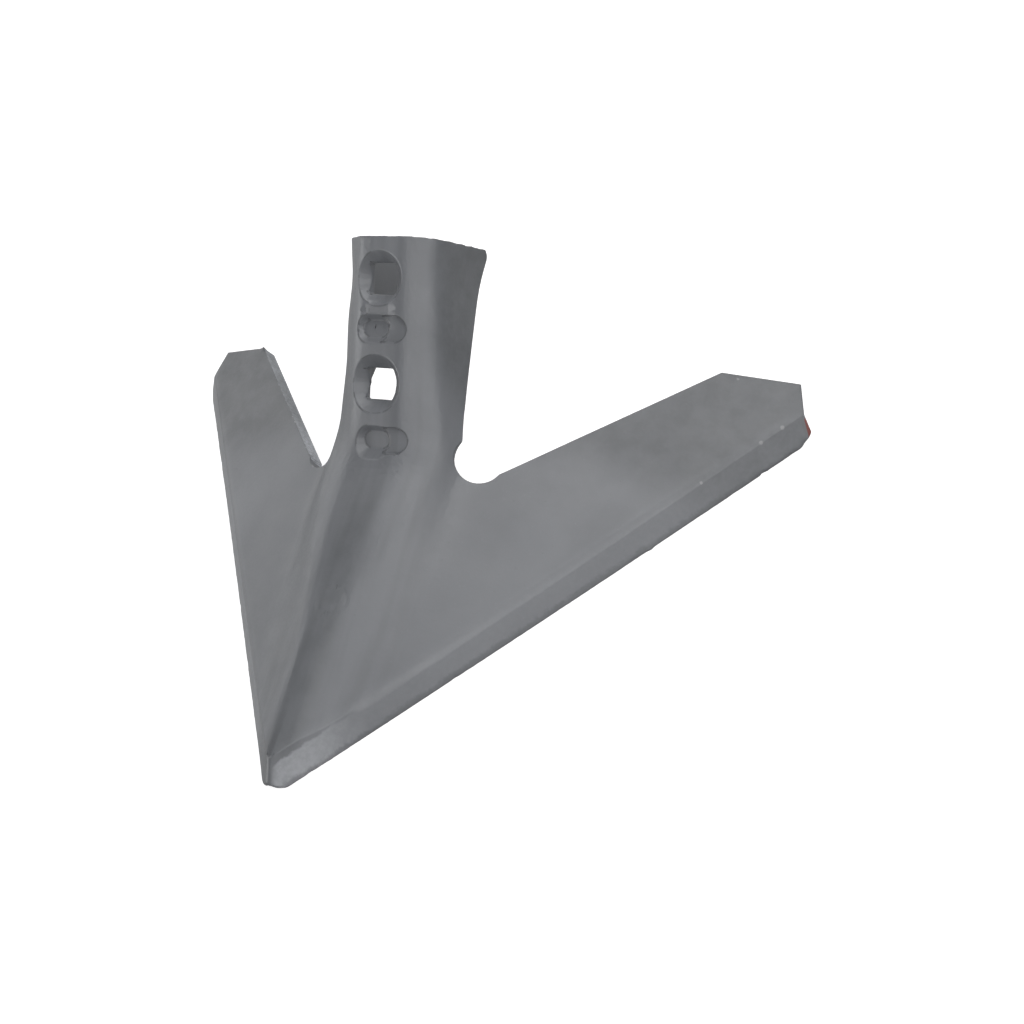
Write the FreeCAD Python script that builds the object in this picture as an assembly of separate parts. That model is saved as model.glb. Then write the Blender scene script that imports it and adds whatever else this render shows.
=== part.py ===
import FreeCAD, Part
import math
import os
from FreeCAD import Vector

# Cultivator sweep, hot-pressed from one steel plate.
# Working frame: X across the wings, Y back from the nose, Z up from the soil line.
# Its origin is the point where the two straight cutting edges would meet.

# Plate
PLATE = 7.94
EDGE_LAND = 1.0

# Wings
HALF_SWEEP_ANGLE = 36.3
WING_LIFT_ANGLE = 25.9
EDGE_LENGTH = 294.7
BEVEL_WIDTH = 10.4
TIP_NIP = 6.5
TIP_LEAN = 0.65
TIP_CLIP_REACH = 303.8
TIP_CLIP_WIDTH = 23.5
TIP_HEEL_REACH = 277.8
TIP_HEEL_WIDTH = 49.6
ROOT_REACH = 154.0
ROOT_WIDTH = 68.0
NOSE_RADIUS = 9.0
NOSE_RIDGE_RADIUS = 3.5

# Crown and stem line in the plane of symmetry
STEM_ANGLE = 47.3
CROWN_ANGLE = 17.6
CROWN_START_HEIGHT = 8.6
LOWER_HOLE_BACK = 174.6
LOWER_HOLE_HEIGHT = 80.0
CROWN_BEND_RADIUS = 45.0

# Stem
HOLE_SPACING = 47.6
STEM_TOP_ABOVE_HOLE = 66.6
TOP_CUT_TILT = 3.0
REAR_DEPTH_AT_HOLE = 29.6
REAR_DEPTH_AT_TOP = 52.2
REAR_LINE_BELOW_HOLE = 33.5
TOP_CORNER_RADIUS = 4.0

# Round notch between the stem and the trailing edge, and how far short of the notch's rim
# the straight edge is trimmed, as a share of half the notch's chord
NOTCH_RADIUS = 11.4
NOTCH_ALONG = 6.0
NOTCH_SINK = 1.1
NOTCH_CHORD_SHARE = 0.9

# Bolt holes
BOLT_SQUARE = 14.3
BOLT_SQUARE_CORNER = 1.0
UPPER_HEAD_DIAMETER = 24.8
LOWER_HEAD_DIAMETER = 27.0
HEAD_ANGLE = 80.0
HOLE_ACROSS = -1.5

# Pressed dimples, each with a shallower tilted step at its right end
DIMPLE_LENGTH = 18.5
DIMPLE_WIDTH = 13.0
DIMPLE_DEPTH = 3.0
DIMPLE_DRAFT = 2.5
NUB_HEIGHT = 2.2
UPPER_DIMPLE_ABOVE_HOLE = 25.0
UPPER_DIMPLE_ACROSS = -3.5
LOWER_DIMPLE_BELOW_HOLE = 25.4
LOWER_DIMPLE_ACROSS = -0.7
STEP_LENGTH = 16.0
STEP_WIDTH = 12.0
STEP_DEPTH = 1.5
STEP_TILT = 6.0
STEP_ACROSS = 8.9

# Places of the crown's sections, behind the nose
NOSE_BACK = -6.0
FRONT_BACK = 22.0
FORWARD_BACK = 51.0
LOW_CROWN_BACK = 80.0
MID_CROWN_BACK = 105.0
HIGH_CROWN_BACK = 128.0

# Half sections of the crown: half flat, shoulder out, shoulder down, foot out, blend end
NOSE_SECTION = (2.2, 5.2, 1.0, 10.0, 14.0)
FRONT_SECTION = (2.6, 7.0, 1.6, 17.0, 23.0)
FORWARD_SECTION = (3.4, 7.6, 1.5, 24.4, 33.0)
LOW_CROWN_SECTION = (5.8, 11.0, 1.6, 32.0, 44.0)
MID_CROWN_SECTION = (9.0, 17.5, 3.0, 34.5, 49.0)
HIGH_CROWN_SECTION = (11.5, 24.0, 5.2, 36.7, 49.0)
BEND_START_SECTION = (12.4, 27.0, 6.6, 37.2, 49.0)
BEND_MIDDLE_SECTION = (12.8, 29.0, 9.4, 36.4, 48.0)
BEND_END_SECTION = (13.2, 28.0, 10.8, 34.2, 43.0)
HOLE_SECTION = (13.4, 27.2, 12.0, 31.6, 38.5)
STEM_SECTION = (13.3, 26.1, 12.3, 26.0, 32.0)
TOP_SECTION = (12.9, 25.2, 12.3, 24.8, 31.0)

# Where the pressed centre meets the flat wings
CENTRE_HALF_WIDTH = 52.0
REAR_CUT_HALF_WIDTH = 44.0
SECTION_REACH = 62.0
SECTION_OVERRUN = 6.0

# How far the wing plates run on inside the pressed centre, along and behind the trailing edge
WING_LAP = 4 * PLATE
WING_SPARE = PLATE / 2

# How far the cutters reach past what they cut, and a reach past the whole part
CUT_DEPTH = 3 * PLATE
CUT_REACH = 100.0
CLEAR = 400.0

# Degree of the section curves and of the loft through them, and how close to its place
# the middle of a picked edge lies
CURVE_DEGREE = 3
PICK = 0.01


def sine(angle):
    return math.sin(math.radians(angle))


def cosine(angle):
    return math.cos(math.radians(angle))


def tangent(angle):
    return math.tan(math.radians(angle))


# Axes of the right wing: along the cutting edge, up the wing, and out of its top face
ALONG = Vector(sine(HALF_SWEEP_ANGLE), cosine(HALF_SWEEP_ANGLE), 0)
UP_WING = Vector(-cosine(HALF_SWEEP_ANGLE) * cosine(WING_LIFT_ANGLE),
                 sine(HALF_SWEEP_ANGLE) * cosine(WING_LIFT_ANGLE),
                 sine(WING_LIFT_ANGLE))
OUT = ALONG.cross(UP_WING)

# Slopes of the wing planes, seen from the side and from the front
RIDGE_SLOPE = sine(HALF_SWEEP_ANGLE) * tangent(WING_LIFT_ANGLE)
SIDE_SLOPE = cosine(HALF_SWEEP_ANGLE) * tangent(WING_LIFT_ANGLE)
PLATE_RISE = PLATE / cosine(WING_LIFT_ANGLE)

# Stem axes: up the stem, and back through the plate
UP_STEM = Vector(0, cosine(STEM_ANGLE), sine(STEM_ANGLE))
INTO_STEM = Vector(0, sine(STEM_ANGLE), -cosine(STEM_ANGLE))
LOWER_HOLE = Vector(0, LOWER_HOLE_BACK, LOWER_HOLE_HEIGHT)


def on_wing(reach, width, rise):
    return ALONG * reach + UP_WING * width + OUT * rise


def on_stem(height, across, depth):
    return LOWER_HOLE + UP_STEM * height + Vector(across, 0, 0) + INTO_STEM * depth


def mirrored(shape):
    return shape.mirror(Vector(0, 0, 0), Vector(1, 0, 0))


def prism(points, along):
    wire = Part.makePolygon(list(points) + [points[0]])
    return Part.Face(wire).extrude(along)


# Crown line: a straight ridge, one bend and the straight stem
def crown_corner():
    crown_rise = tangent(CROWN_ANGLE)
    stem_rise = tangent(STEM_ANGLE)
    drop = LOWER_HOLE_HEIGHT - CROWN_START_HEIGHT - stem_rise * LOWER_HOLE_BACK
    back = drop / (crown_rise - stem_rise)
    return Vector(0, back, CROWN_START_HEIGHT + crown_rise * back)


CORNER = crown_corner()
BEND_TURN = STEM_ANGLE - CROWN_ANGLE
BEND_TANGENT = CROWN_BEND_RADIUS * tangent(BEND_TURN / 2)
BEND_START = CORNER - Vector(0, cosine(CROWN_ANGLE), sine(CROWN_ANGLE)) * BEND_TANGENT
BEND_END_BELOW_HOLE = (LOWER_HOLE - CORNER).Length - BEND_TANGENT


def ridge_station(back):
    point = Vector(0, back, CROWN_START_HEIGHT + tangent(CROWN_ANGLE) * back)
    return point, CROWN_ANGLE


def bend_station(share):
    angle = CROWN_ANGLE + BEND_TURN * share
    centre = BEND_START + Vector(0, -sine(CROWN_ANGLE), cosine(CROWN_ANGLE)) * CROWN_BEND_RADIUS
    return centre + Vector(0, sine(angle), -cosine(angle)) * CROWN_BEND_RADIUS, angle


def stem_station(height):
    return on_stem(height, 0, 0), STEM_ANGLE


def wing_trace(station, lower):
    """Depth of the wing face below the crown point, and its slope, in the section plane."""
    point, angle = station
    scale = cosine(angle) + sine(angle) * RIDGE_SLOPE
    ridge = RIDGE_SLOPE * point.y + (0 if lower else PLATE_RISE)
    return (point.z - ridge) / scale, SIDE_SLOPE / scale


def skin_polygon(station, sizes, lower):
    """Corners of the half section, from the middle out to the end of the foot blend."""
    half_flat, shoulder_out, shoulder_down, foot_out, blend_end = sizes
    top_depth, slope = wing_trace(station, False)
    corners = [(0.0, 0.0), (half_flat, 0.0), (shoulder_out, shoulder_down),
               (foot_out, top_depth + slope * foot_out)]
    if lower:
        corners = inward(corners, slope)
    face_depth, slope = wing_trace(station, lower)
    end = blend_end if not lower else blend_end + PLATE * sine(math.degrees(math.atan(slope))) / 2
    return corners + [(end, face_depth + slope * end)]


def inward(corners, slope):
    """The same corners on lines that lie one plate thickness deeper."""
    angles = [math.atan2(b[1] - a[1], b[0] - a[0]) for a, b in zip(corners, corners[1:])]
    angles.append(math.atan(slope))
    moved = [(0.0, PLATE)]
    for corner, before, after in zip(corners[1:], angles, angles[1:]):
        middle = (before + after) / 2
        reach = PLATE / math.cos((after - before) / 2)
        moved.append((corner[0] - reach * math.sin(middle), corner[1] + reach * math.cos(middle)))
    return moved


def place(station, across, depth):
    point, angle = station
    return point + Vector(across, depth * sine(angle), -depth * cosine(angle))


def skin_curve(station, sizes, lower):
    """Smooth curve that follows the corners, straight at the middle of each side."""
    corners = skin_polygon(station, sizes, lower)
    half = [(corners[1][0] / 3, corners[0][1]), corners[1]]
    for a, b in zip(corners[1:4], corners[2:5]):
        half.append(((a[0] + b[0]) / 2, (a[1] + b[1]) / 2))
        half.append(b)
    whole = [(-x, w) for x, w in reversed(half)] + half
    poles = [place(station, x, w) for x, w in whole]
    curve = Part.BSplineCurve()
    spans = len(poles) - CURVE_DEGREE
    multiplicities = [CURVE_DEGREE + 1] + [1] * (spans - 1) + [CURVE_DEGREE + 1]
    knots = list(range(spans + 1))
    curve.buildFromPolesMultsKnots(poles, multiplicities, knots, False, CURVE_DEGREE)
    return curve.toShape()


def section(station, sizes):
    """Closed ring section of the plate: top skin, end, under skin, end."""
    edges = []
    upper = skin_curve(station, sizes, False)
    under = skin_curve(station, sizes, True)
    ends = []
    for lower in (False, True):
        depth, slope = wing_trace(station, lower)
        ends.append([place(station, side * SECTION_REACH, depth + slope * SECTION_REACH)
                     for side in (-1, 1)])
    top_start, top_end = (upper.valueAt(upper.FirstParameter), upper.valueAt(upper.LastParameter))
    low_start, low_end = (under.valueAt(under.FirstParameter), under.valueAt(under.LastParameter))
    edges.append(Part.makeLine(ends[0][0], top_start))
    edges.append(upper)
    edges.append(Part.makeLine(top_end, ends[0][1]))
    edges.append(Part.makeLine(ends[0][1], ends[1][1]))
    edges.append(Part.makeLine(ends[1][1], low_end))
    edges.append(under)
    edges.append(Part.makeLine(low_start, ends[1][0]))
    edges.append(Part.makeLine(ends[1][0], ends[0][0]))
    return Part.Wire(edges)


def between(first, second):
    """Section half way between two others."""
    return tuple((a + b) / 2 for a, b in zip(first, second))


def pressed_centre():
    """Crown and stem in one piece, still with untrimmed edges."""
    top = STEM_TOP_ABOVE_HOLE + SECTION_OVERRUN
    rows = [
        (ridge_station(NOSE_BACK), NOSE_SECTION),
        (ridge_station(FRONT_BACK), FRONT_SECTION),
        (ridge_station(FORWARD_BACK), FORWARD_SECTION),
        (ridge_station(LOW_CROWN_BACK), LOW_CROWN_SECTION),
        (ridge_station(MID_CROWN_BACK), MID_CROWN_SECTION),
        (ridge_station(HIGH_CROWN_BACK), HIGH_CROWN_SECTION),
        (bend_station(0.0), BEND_START_SECTION),
        (bend_station(0.5), BEND_MIDDLE_SECTION),
        (bend_station(1.0), BEND_END_SECTION),
        (stem_station(-BEND_END_BELOW_HOLE / 2), between(BEND_END_SECTION, HOLE_SECTION)),
        (stem_station(0.0), HOLE_SECTION),
        (stem_station(0.25 * top), between(HOLE_SECTION, STEM_SECTION)),
        (stem_station(0.5 * top), STEM_SECTION),
        (stem_station(0.75 * top), between(STEM_SECTION, TOP_SECTION)),
        (stem_station(top), TOP_SECTION),
    ]
    wires = [section(station, sizes) for station, sizes in rows]
    return Part.makeLoft(wires, True, False, False, CURVE_DEGREE)


# Trailing edge of the wing, from the root to the heel of the tip
TRAIL = Vector(TIP_HEEL_REACH - ROOT_REACH, TIP_HEEL_WIDTH - ROOT_WIDTH, 0).normalize()
TRAIL_BACK = Vector(-TRAIL.y, TRAIL.x, 0)
ROOT = Vector(ROOT_REACH, ROOT_WIDTH, 0)


def flat_wing(side):
    """Plate of one wing outside the pressed centre."""
    front = (CENTRE_HALF_WIDTH - 2 * SECTION_OVERRUN) / ALONG.x
    behind = ROOT - TRAIL * WING_LAP + TRAIL_BACK * WING_SPARE
    outline = [(front, 0.0), (EDGE_LENGTH - TIP_NIP, 0.0), (EDGE_LENGTH, TIP_NIP / 2),
               (EDGE_LENGTH + TIP_LEAN, BEVEL_WIDTH),
               (TIP_CLIP_REACH, TIP_CLIP_WIDTH), (TIP_HEEL_REACH, TIP_HEEL_WIDTH),
               (behind.x, behind.y)]
    plate = prism([on_wing(s, t, 0) for s, t in outline], OUT * PLATE)
    inner = Part.makeBox(CENTRE_HALF_WIDTH + CLEAR, 4 * CLEAR, 2 * CLEAR,
                         Vector(-CLEAR, -CLEAR, -CLEAR))
    plate = plate.cut(inner)
    return plate if side > 0 else mirrored(plate)


def trailing_cutter():
    """Everything behind the straight trailing edge, square to the right wing."""
    half_chord = math.sqrt(NOTCH_RADIUS ** 2 - (NOTCH_RADIUS - NOTCH_SINK) ** 2)
    start = ROOT + TRAIL * (NOTCH_ALONG + NOTCH_CHORD_SHARE * half_chord)
    end = start + TRAIL * 2 * CUT_REACH
    back = TRAIL_BACK * SECTION_REACH
    corners = [start, end, end + back, start + back]
    return prism([on_wing(c.x, c.y, -PLATE / 2) for c in corners], OUT * PLATE * 2)


def notch_cutter():
    """Round notch, square to the right wing, that ends the trailing edge at the stem."""
    centre = ROOT + TRAIL * NOTCH_ALONG + TRAIL_BACK * (NOTCH_RADIUS - NOTCH_SINK)
    foot = on_wing(centre.x, centre.y, -PLATE)
    return Part.makeCylinder(NOTCH_RADIUS, CUT_DEPTH, foot, OUT)


def rear_depth(height):
    """Depth of the rear edge of the stem behind its front, at a height above the lower hole."""
    slope = (REAR_DEPTH_AT_TOP - REAR_DEPTH_AT_HOLE) / STEM_TOP_ABOVE_HOLE
    return REAR_DEPTH_AT_HOLE + slope * height


def rear_cutter():
    """Everything behind the stem and above its top, square to the sides of the stem."""
    low, top = -REAR_LINE_BELOW_HOLE, STEM_TOP_ABOVE_HOLE
    side = -REAR_CUT_HALF_WIDTH
    tilt = tangent(TOP_CUT_TILT)
    rear = rear_depth(top)
    outline = [on_stem(low, side, rear_depth(low)), on_stem(top - tilt * rear, side, rear),
               on_stem(top + tilt * CUT_REACH, side, -CUT_REACH),
               on_stem(2 * CUT_REACH, side, -CUT_REACH), on_stem(2 * CUT_REACH, side, 2 * CUT_REACH)]
    outline.append(Vector(side, outline[-1].y, -CLEAR))
    outline.append(Vector(side, outline[0].y, -CLEAR))
    cutter = prism(outline, Vector(-2 * side, 0, 0))
    corner = on_stem(top - tilt * rear, 0, rear)
    edges = [e for e in cutter.Edges if (e.CenterOfMass - corner).Length < PICK]
    return cutter.makeFillet(TOP_CORNER_RADIUS, edges)


def ground_nose():
    """Plan outline of the cutting edges with the rounded nose, as a tall solid to keep."""
    far = on_wing(2 * CLEAR, 0, 0)
    base = -CUT_REACH
    outline = [Vector(0, 0, base), Vector(far.x, far.y, base), Vector(-far.x, far.y, base)]
    solid = prism(outline, Vector(0, 0, CLEAR))
    tip = [e for e in solid.Edges if math.hypot(e.CenterOfMass.x, e.CenterOfMass.y) < PICK]
    return solid.makeFillet(NOSE_RADIUS, tip)


def ground_bevel():
    """Two bevel planes that meet in a rounded ridge over the nose, as a solid to keep."""
    bevel_angle = WING_LIFT_ANGLE + math.degrees(math.atan((PLATE - EDGE_LAND) / BEVEL_WIDTH))
    climb = sine(HALF_SWEEP_ANGLE) * tangent(bevel_angle)
    ridge = Vector(0, 1, climb).normalize()
    apex = Vector(0, 0, EDGE_LAND)
    start = apex - ridge * CUT_REACH
    edge = ALONG * 2 * CLEAR
    across = edge - ridge * edge.dot(ridge)
    left = Vector(-across.x, across.y, across.z)
    solid = prism([start, start + across, start + left], ridge * 2 * CLEAR)
    tip = [e for e in solid.Edges if (e.CenterOfMass - start).cross(ridge).Length < PICK]
    return solid.makeFillet(NOSE_RIDGE_RADIUS, tip)


def bolt_hole(height, head_diameter):
    """Square neck with a countersink for the head, cut square to the front of the stem."""
    half = BOLT_SQUARE / 2
    corners = [on_stem(height + u, HOLE_ACROSS + x, -PLATE) for u, x in
               ((-half, -half), (half, -half), (half, half), (-half, half))]
    square = prism(corners, INTO_STEM * CUT_DEPTH)
    sides = [e for e in square.Edges if abs(e.Length - CUT_DEPTH) < PICK]
    square = square.makeFillet(BOLT_SQUARE_CORNER, sides)
    flare = tangent(HEAD_ANGLE / 2)
    top_radius = head_diameter / 2
    cone = Part.makeCone(top_radius + PLATE * flare, 0.0, PLATE + top_radius / flare,
                         on_stem(height, HOLE_ACROSS, -PLATE), INTO_STEM)
    return square.fuse(cone)


def racetrack(height, across, depth, length, width):
    """Closed outline with round ends, across the stem."""
    radius = width / 2
    reach = length / 2 - radius
    spots = [(-radius, -reach), (0, -reach - radius), (radius, -reach),
             (radius, reach), (0, reach + radius), (-radius, reach)]
    points = [on_stem(height + u, across + x, depth) for u, x in spots]
    return Part.Wire([Part.Arc(points[0], points[1], points[2]).toShape(),
                      Part.makeLine(points[2], points[3]),
                      Part.Arc(points[3], points[4], points[5]).toShape(),
                      Part.makeLine(points[5], points[0])])


def dimple_pocket(height, across):
    """Pocket that the punch leaves in the front."""
    rise = DIMPLE_DEPTH
    grow = 2 * DIMPLE_DRAFT
    wires = [racetrack(height, across, -rise, DIMPLE_LENGTH + grow, DIMPLE_WIDTH + grow),
             racetrack(height, across, rise, DIMPLE_LENGTH - grow, DIMPLE_WIDTH - grow)]
    return Part.makeLoft(wires, True, True)


def dimple_step(height, across):
    """Shallow step that runs into the right end of a pocket, deepest at its own right end."""
    middle = across + STEP_ACROSS
    floor = Part.Face(racetrack(height, middle, STEP_DEPTH, STEP_LENGTH, STEP_WIDTH))
    step = floor.extrude(INTO_STEM * (-2 * DIMPLE_DEPTH))
    step.rotate(on_stem(height, middle, STEP_DEPTH), UP_STEM, STEP_TILT)
    return step


def dimple_nub(height, across):
    """Low nub that the same punch raises on the back."""
    grow = 2 * DIMPLE_DRAFT
    wires = [racetrack(height, across, PLATE / 2, DIMPLE_LENGTH + grow, DIMPLE_WIDTH + grow / 2),
             racetrack(height, across, PLATE + NUB_HEIGHT, DIMPLE_LENGTH - grow, DIMPLE_WIDTH - grow)]
    return Part.makeLoft(wires, True, True)


def largest(shape):
    return max(shape.Solids, key=lambda solid: solid.Volume)


def sweep():
    centre = pressed_centre()
    slab = Part.makeBox(2 * CENTRE_HALF_WIDTH, 2 * CLEAR, 2 * CLEAR,
                        Vector(-CENTRE_HALF_WIDTH, -CLEAR, -CLEAR))
    body = centre.common(slab)
    body = body.fuse([flat_wing(1), flat_wing(-1)])
    notch = notch_cutter()
    trail = trailing_cutter()
    body = body.cut([rear_cutter(), trail, mirrored(trail), notch, mirrored(notch)])
    body = largest(body)
    body = body.common(ground_nose()).common(ground_bevel())
    dimples = [(UPPER_DIMPLE_ABOVE_HOLE, UPPER_DIMPLE_ACROSS),
               (-LOWER_DIMPLE_BELOW_HOLE, LOWER_DIMPLE_ACROSS)]
    body = body.fuse([dimple_nub(*place) for place in dimples])
    body = body.cut([dimple_pocket(*place).fuse(dimple_step(*place)) for place in dimples])
    holes = [bolt_hole(0.0, LOWER_HEAD_DIAMETER), bolt_hole(HOLE_SPACING, UPPER_HEAD_DIAMETER)]
    body = body.cut(holes)
    return largest(body)


def row_origin(body):
    """Middle of the base of the box round the part."""
    box = body.optimalBoundingBox(False, False)
    return Vector(0, (box.YMin + box.YMax) / 2, box.ZMin)


if __name__ == "__main__":
    os.makedirs("parts", exist_ok=True)
    body = sweep()
    body.translate(row_origin(body) * -1)
    print("valid", body.isValid(), "volume", body.Volume, "faces", len(body.Faces))
    body.exportStep("parts/cultivator_sweep.step")
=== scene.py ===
"""Dressed model of a hot-pressed cultivator sweep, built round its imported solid."""

import logging
import math
from dataclasses import dataclass, field, replace
from enum import Enum

import bpy
from mathutils import Matrix, Vector, noise


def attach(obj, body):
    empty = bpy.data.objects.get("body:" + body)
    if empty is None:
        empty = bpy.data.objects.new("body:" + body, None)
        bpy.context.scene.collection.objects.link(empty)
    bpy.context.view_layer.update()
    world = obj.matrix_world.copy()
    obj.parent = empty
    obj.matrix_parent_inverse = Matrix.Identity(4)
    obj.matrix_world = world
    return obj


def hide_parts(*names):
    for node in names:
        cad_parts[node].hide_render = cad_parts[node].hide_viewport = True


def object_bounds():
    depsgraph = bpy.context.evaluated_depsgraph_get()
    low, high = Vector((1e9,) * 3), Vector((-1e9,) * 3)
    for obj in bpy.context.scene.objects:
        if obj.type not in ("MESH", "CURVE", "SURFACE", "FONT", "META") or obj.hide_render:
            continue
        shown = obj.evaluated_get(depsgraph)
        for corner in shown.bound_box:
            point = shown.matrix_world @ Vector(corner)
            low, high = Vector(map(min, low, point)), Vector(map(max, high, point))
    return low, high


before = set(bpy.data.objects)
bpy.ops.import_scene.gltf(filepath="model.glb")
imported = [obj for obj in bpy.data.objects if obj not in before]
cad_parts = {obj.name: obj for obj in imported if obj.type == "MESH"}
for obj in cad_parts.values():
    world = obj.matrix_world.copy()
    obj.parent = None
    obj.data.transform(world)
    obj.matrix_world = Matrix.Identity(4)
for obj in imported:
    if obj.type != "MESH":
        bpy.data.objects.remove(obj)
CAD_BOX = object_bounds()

LOG = logging.getLogger("sweep")
MM = 0.001
WHITE = (1.0, 1.0, 1.0, 1.0)
STILL = Vector((0.0, 0.0, 0.0))
Socket = bpy.types.NodeSocket


class Side(Enum):
    """The two wings, by the sign of their X."""

    LEFT = -1
    RIGHT = 1

    @classmethod
    def of(cls, point: Vector) -> "Side":
        """Wing that a point belongs to."""
        return cls.RIGHT if point.x > 0 else cls.LEFT


def smooth(value: float) -> float:
    """Ease a share from 0 to 1, clamped at both ends."""
    value = min(max(value, 0.0), 1.0)
    return value * value * (3.0 - 2.0 * value)


def hump(distance: float, radius: float) -> float:
    """Round hump of height 1 that fades to nothing at a radius."""
    return smooth(1.0 - distance / radius)


def inside(value: float, low: float, high: float, fade: float) -> float:
    """Share that is 1 between two limits and fades to 0 just outside them."""
    return smooth((value - low) / fade + 1.0) * smooth((high - value) / fade + 1.0)


@dataclass(frozen=True)
class WingFrame:
    """Axes of a flat wing: along its cutting edge, up the wing, and out of its top face.

    Attributes:
        half_sweep: Angle between a cutting edge and the middle plane, in degrees.
        lift: Slope of the wing, square to its edge, in degrees.
        nose_radius: Rounding of the nose in plan.
        plate: Thickness of the plate.
        bevel: Width of the ground bevel, measured up the wing.
        edge: Length of a cutting edge.
    """

    half_sweep: float = 36.3
    lift: float = 25.9
    nose_radius: float = 9.0 * MM
    plate: float = 7.94 * MM
    bevel: float = 10.4 * MM
    edge: float = 294.7 * MM

    @property
    def origin(self) -> Vector:
        """Point where the two straight cutting edges would meet."""
        short = self.nose_radius * (1.0 / math.sin(math.radians(self.half_sweep)) - 1.0)
        return Vector((0.0, CAD_BOX[0].y - short, 0.0))

    @property
    def axes(self) -> tuple[Vector, Vector, Vector]:
        """Work out the axes of the right wing.

        Returns:
            Unit vectors along the edge, up the wing and out of its top face.
        """
        sweep, lift = math.radians(self.half_sweep), math.radians(self.lift)
        along = Vector((math.sin(sweep), math.cos(sweep), 0.0))
        up = Vector((-math.cos(sweep) * math.cos(lift), math.sin(sweep) * math.cos(lift), math.sin(lift)))
        return along, up, along.cross(up)

    def place(self, point: Vector) -> Vector:
        """Measure a point on the wing of its own side.

        Args:
            point: A point in the row's frame.

        Returns:
            Distance along the edge, up the wing and out of its underside.
        """
        flat = Vector((abs(point.x), point.y, point.z)) - self.origin
        return Vector([flat.dot(axis) for axis in self.axes])

    def turn(self, local: Vector, side: Side) -> Vector:
        """Turn a vector on a wing's axes into the row's frame.

        Args:
            local: Parts of the vector along, up and out of the wing.
            side: The wing.

        Returns:
            The same vector in the row's frame.
        """
        along, up, out = self.axes
        whole = along * local.x + up * local.y + out * local.z
        return Vector((whole.x * side.value, whole.y, whole.z))


@dataclass(frozen=True)
class StemFrame:
    """Axes of the stem, from the middle of the lower bolt hole's place on its front.

    Attributes:
        angle: Slope of the stem's front, in degrees.
        back: How far the lower hole lies behind the point where the edges meet.
        height: Height of the lower hole.
        top: Length of the stem above the lower hole.
    """

    angle: float = 47.3
    back: float = 174.6 * MM
    height: float = 80.0 * MM
    top: float = 66.6 * MM

    @property
    def axes(self) -> tuple[Vector, Vector]:
        """Work out the axes of the stem.

        Returns:
            Unit vectors up the stem and back through its plate.
        """
        rise, level = math.sin(math.radians(self.angle)), math.cos(math.radians(self.angle))
        return Vector((0.0, level, rise)), Vector((0.0, rise, -level))

    def place(self, point: Vector, wing: WingFrame) -> Vector:
        """Measure a point on the stem.

        Args:
            point: A point in the row's frame.
            wing: The wing that the stem's place is measured from.

        Returns:
            Height above the lower hole, offset to the right, depth behind the front.
        """
        up, back = self.axes
        hole = wing.origin + Vector((0.0, self.back, self.height))
        flat = point - hole
        return Vector((flat.dot(up), point.x, flat.dot(back)))


@dataclass(frozen=True)
class Spot:
    """A point of the sweep, measured on the wing of its own side and on the stem.

    Attributes:
        point: The point in the row's frame.
        side: The wing that it belongs to.
        reach: Distance along the cutting edge.
        width: Distance up the wing.
        rise: Distance out of the wing's underside.
        height: Height above the lower bolt hole, up the stem.
        across: Distance to the right of the middle plane.
        depth: Depth behind the stem's front.
    """

    point: Vector
    side: Side
    reach: float
    width: float
    rise: float
    height: float
    across: float
    depth: float


@dataclass(frozen=True)
class SweepAxes:
    """Axes of the whole sweep.

    Attributes:
        wing: Axes of the wings.
        stem: Axes of the stem.
    """

    wing: WingFrame = WingFrame()
    stem: StemFrame = StemFrame()

    def spot(self, point: Vector) -> Spot:
        """Measure a point on the wing of its own side and on the stem."""
        return Spot(point, Side.of(point), *self.wing.place(point), *self.stem.place(point, self.wing))


@dataclass(frozen=True)
class Fade:
    """A smooth change of a result while a value grows.

    Attributes:
        start: Value at which the change starts.
        stop: Value at which it ends.
        first: Result up to the start.
        last: Result from the end on.
    """

    start: float
    stop: float
    first: float = 0.0
    last: float = 1.0

    def moved(self, by: float) -> "Fade":
        """The same change at larger values."""
        return replace(self, start=self.start + by, stop=self.stop + by)


@dataclass(frozen=True)
class Grain:
    """A noise pattern.

    Attributes:
        size: Size of its largest blots.
        layers: Number of finer layers.
        rough: Strength of the finer layers.
    """

    size: float
    layers: float
    rough: float


@dataclass(frozen=True)
class Blots:
    """A noise pattern whose middle range is spread over a range of results.

    Attributes:
        grain: The noise pattern.
        spread: The change of the result with the noise.
    """

    grain: Grain
    spread: Fade


def grey(value: float, tint: tuple[float, float, float]) -> tuple[float, ...]:
    """Give a linear colour with alpha from a grey and a tint."""
    return (value * tint[0], value * tint[1], value * tint[2], 1.0)


@dataclass(frozen=True)
class Palette:
    """Linear greys and tints of the paint and of the steel below it.

    Attributes:
        paint: Grey of the clean paint.
        worn: Grey of paint rubbed thin.
        steel: Grey of bare steel.
        cut: Grey of the sheared faces: thinly painted steel, lightened further as a painted highlight.
        rust: Colour of the rusty end face.
        cool: Tint of the paint.
        shade_tint: Tint of the painted shade.
        ground: Tint of the painted highlights on the ground bevels.
        chipped: Tint of the steel in chips along the edges.
        scuffed: Tint of the steel in scuffs.
    """

    paint: float = 0.190
    worn: float = 0.275
    steel: float = 0.48
    cut: float = 0.56
    rust: tuple[float, float, float] = (0.20, 0.050, 0.040)
    cool: tuple[float, float, float] = (0.962, 1.0, 1.075)
    shade_tint: tuple[float, float, float] = (0.91, 1.0, 1.06)
    ground: tuple[float, float, float] = (0.975, 1.0, 1.06)
    chipped: tuple[float, float, float] = (1.0, 0.985, 0.96)
    scuffed: tuple[float, float, float] = (1.0, 1.0, 1.0)

    def coat(self, share: float) -> tuple[float, ...]:
        """Give the paint's colour, darkened or lightened by a share."""
        return grey(self.paint * share, self.cool)


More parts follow.
